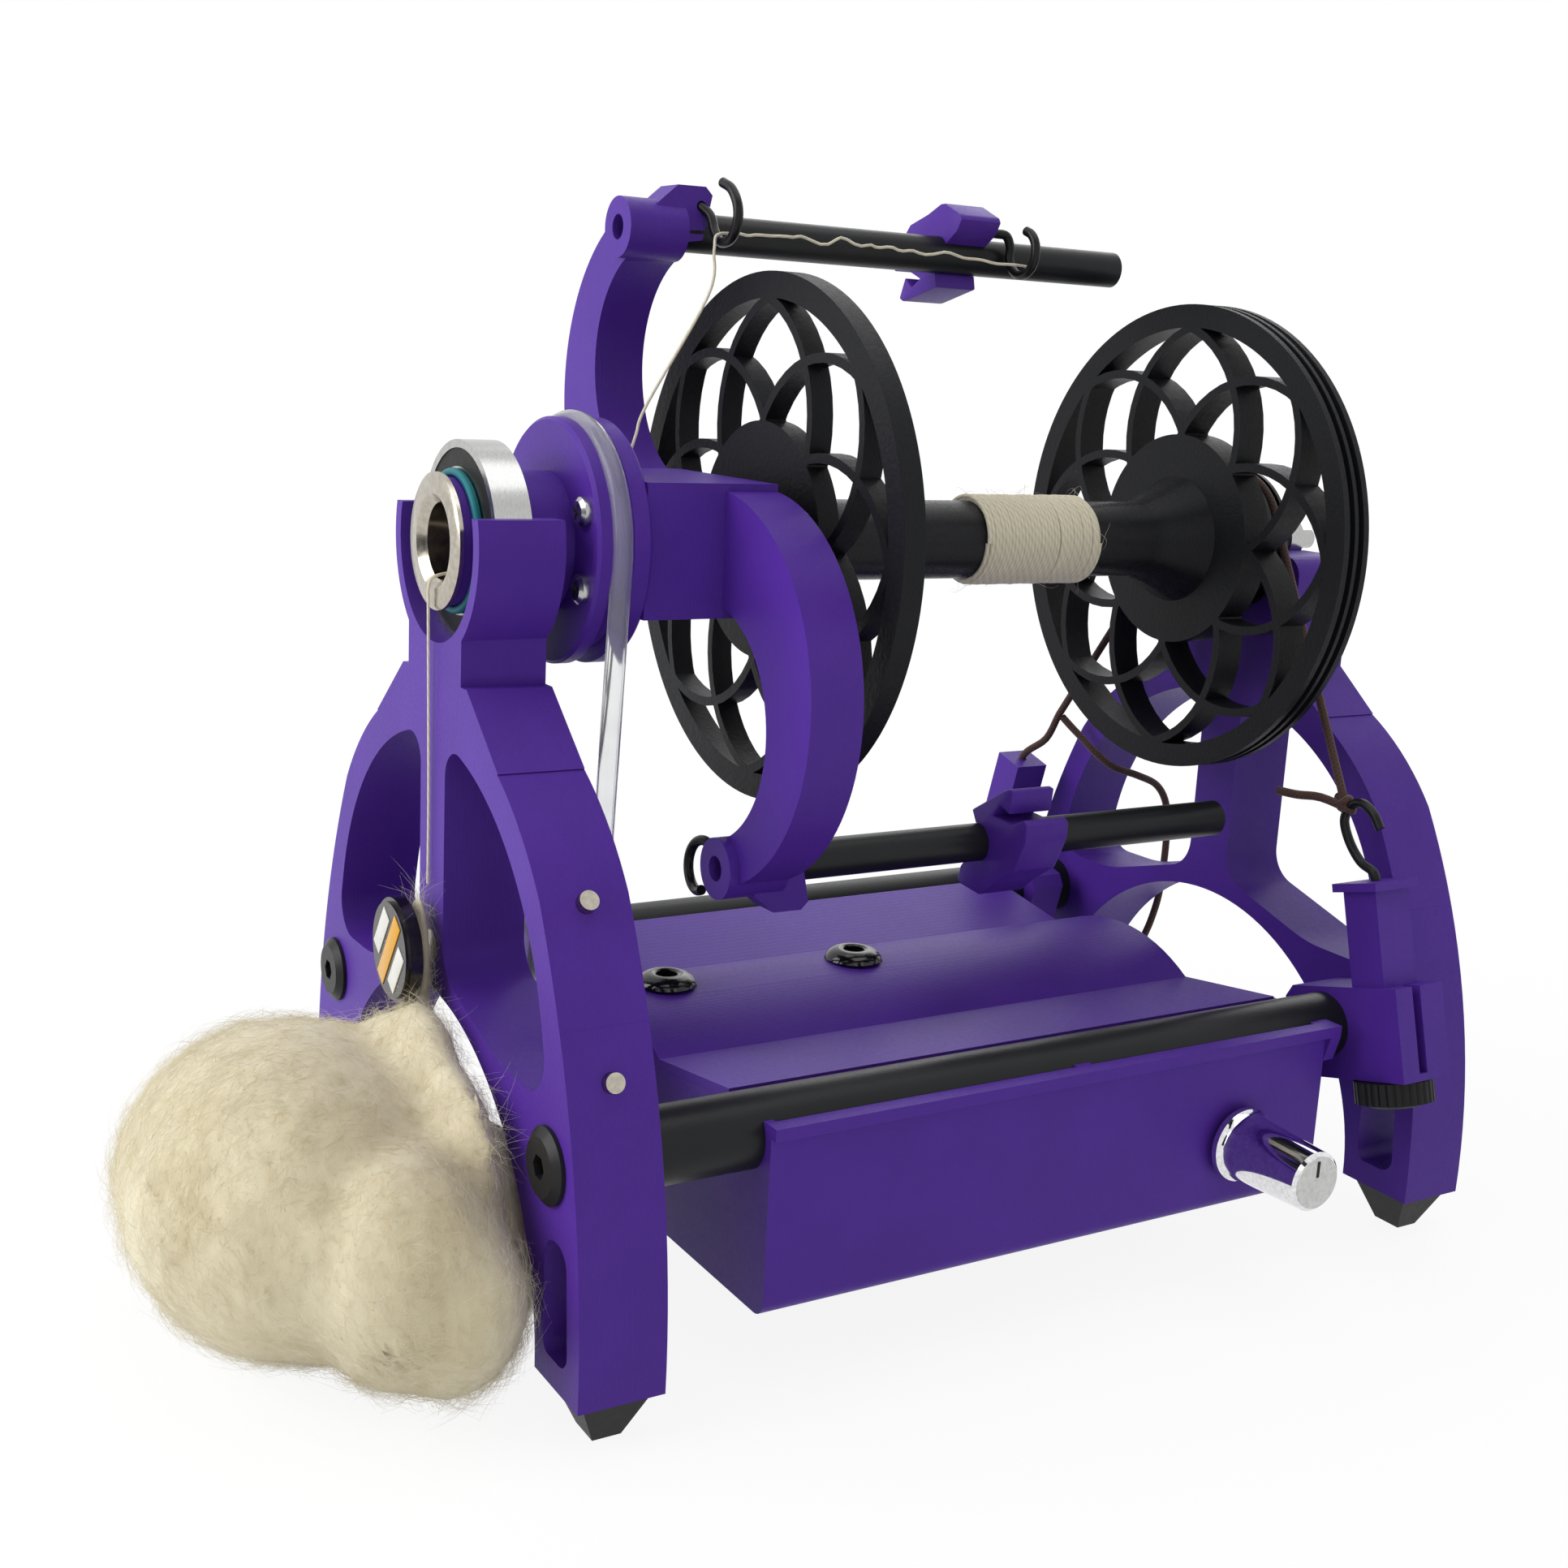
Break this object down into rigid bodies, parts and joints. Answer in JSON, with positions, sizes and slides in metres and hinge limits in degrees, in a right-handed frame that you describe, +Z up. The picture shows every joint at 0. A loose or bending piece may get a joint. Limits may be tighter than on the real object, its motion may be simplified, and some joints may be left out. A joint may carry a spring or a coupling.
{
  "type": "electric yarn spinner",
  "caption": "Electric yarn spinner with printed stands on rails, belt-driven flyer with hooks and clips, bobbin with cord brake, motor housing and a fibre bundle.",
  "frame": {"origin": "on the table, under the middle of the object's box without its free cord", "axes": "+Z up, the yarn orifice faces -Y, the spin axis runs along Y, the speed knob is on +X"},
  "size_m": [0.212, 0.361, 0.2786],
  "materials": {
    "purple_plastic": "satin printed",
    "black_plastic": "satin printed",
    "black_steel": "black oxide",
    "bright_steel": "polished",
    "black_rubber": "satin",
    "nickel": "satin nickel",
    "bronze": "satin",
    "chrome": "polished",
    "teal_rubber": "satin",
    "clear_belt": "clear greyish",
    "green_board": "gloss",
    "brown_cord": "braided",
    "white_wool": "soft wool"
  },
  "bodies": {
    "base": {"front_stand": "purple_plastic", "rear_stand": "purple_plastic", "rails": "black_steel", "rail_bolts": "black_steel", "rubber_feet": "black_rubber", "stand_magnets": "bright_steel", "button_magnet": "bright_steel", "front_bearing_outer_ring": "bright_steel", "front_bearing_balls": "bright_steel", "front_bearing_seals": "black_rubber", "rear_bearing_outer_ring": "bright_steel", "rear_bearing_balls": "bright_steel", "housing_front": "purple_plastic", "housing_rear": "purple_plastic", "cover_front": "purple_plastic", "cover_rear": "purple_plastic", "cover_grommets": "black_rubber", "motor": "bright_steel", "motor_screws": "black_steel", "drive_belt": "clear_belt", "control_board": "green_board", "speed_control": "bright_steel", "power_inlet": "black_plastic", "tension_block": "purple_plastic", "left_cord_post": "purple_plastic", "brake_cord": "brown_cord", "brake_cord_right": "brown_cord", "brake_tail": "brown_cord", "feed_yarn": "white_wool", "fibre_bundle": "white_wool"},
    "flyer": {"front_bearing_inner_ring": "bright_steel", "rear_bearing_inner_ring": "bright_steel", "o_ring": "teal_rubber", "orifice_grommet": "nickel", "flyer_pulley": "purple_plastic", "flyer_arms": "purple_plastic", "pulley_screws": "bright_steel", "upper_rod": "black_steel", "lower_rod": "black_steel", "upper_fixed_hook": "black_steel", "lower_fixed_hook": "black_steel", "flyer_shaft": "bright_steel", "flyer_yarn": "white_wool", "rod_yarn": "white_wool"},
    "upper_clip": {"upper_clip": "purple_plastic", "upper_clip_hook": "black_steel"},
    "lower_clip": {"lower_clip": "purple_plastic", "lower_clip_hook": "black_steel"},
    "bobbin": {"bobbin_front_flange": "black_plastic", "bobbin_rear_flange": "black_plastic", "bobbin_core": "black_plastic", "bobbin_bushes": "bronze", "yarn_core": "white_wool", "yarn_turns": "white_wool"},
    "motor_rotor": {"motor_pulley": "black_plastic"},
    "knob": {"speed_knob": "chrome"},
    "slider": {"tension_slider": "purple_plastic", "slider_hook": "black_steel", "brake_knot": "brown_cord"},
    "thumbwheel": {"thumbwheel": "black_plastic"}
  },
  "joints": [
    {"name": "flyer_spin", "type": "hinge", "parent": "base", "child": "flyer", "pos_m": [-0.0074, -0.0945, 0.1875], "axis": [0, 1, 0], "continuous": true},
    {"name": "bobbin_spin", "type": "hinge", "parent": "flyer", "child": "bobbin", "pos_m": [-0.0074, -0.0945, 0.1875], "axis": [0, 1, 0], "continuous": true},
    {"name": "motor_spin", "type": "hinge", "parent": "base", "child": "motor_rotor", "pos_m": [-0.0074, -0.0945, 0.055], "axis": [0, 1, 0], "continuous": true},
    {"name": "upper_clip_slide", "type": "slide", "parent": "flyer", "child": "upper_clip", "axis": [0, 1, 0], "range_m": [-0.066, 0.04], "deforming": ["rod_yarn"]},
    {"name": "lower_clip_slide", "type": "slide", "parent": "flyer", "child": "lower_clip", "axis": [0, 1, 0], "range_m": [-0.045, 0.062]},
    {"name": "knob_turn", "type": "hinge", "parent": "base", "child": "knob", "pos_m": [0.079, 0.0905, 0.039], "axis": [1, 0, 0], "range_deg": [-140, 140]},
    {"name": "thumbwheel_turn", "type": "hinge", "parent": "base", "child": "thumbwheel", "pos_m": [0.08464, 0.13925, 0.05166], "axis": [-0.2672, 0, 0.9636], "range_deg": [-2520, 1800]},
    {"name": "tension_slide", "type": "slide", "parent": "base", "child": "slider", "axis": [-0.2672, 0, 0.9636], "range_m": [-0.00501, 0.00701], "deforming": ["brake_cord_right"]}
  ],
  "couplings": [
    {"joint": "motor_spin", "follows": "flyer_spin", "ratio": 1.5801},
    {"joint": "tension_slide", "follows": "thumbwheel_turn", "m_per_rad": -0.00015915}
  ]
}
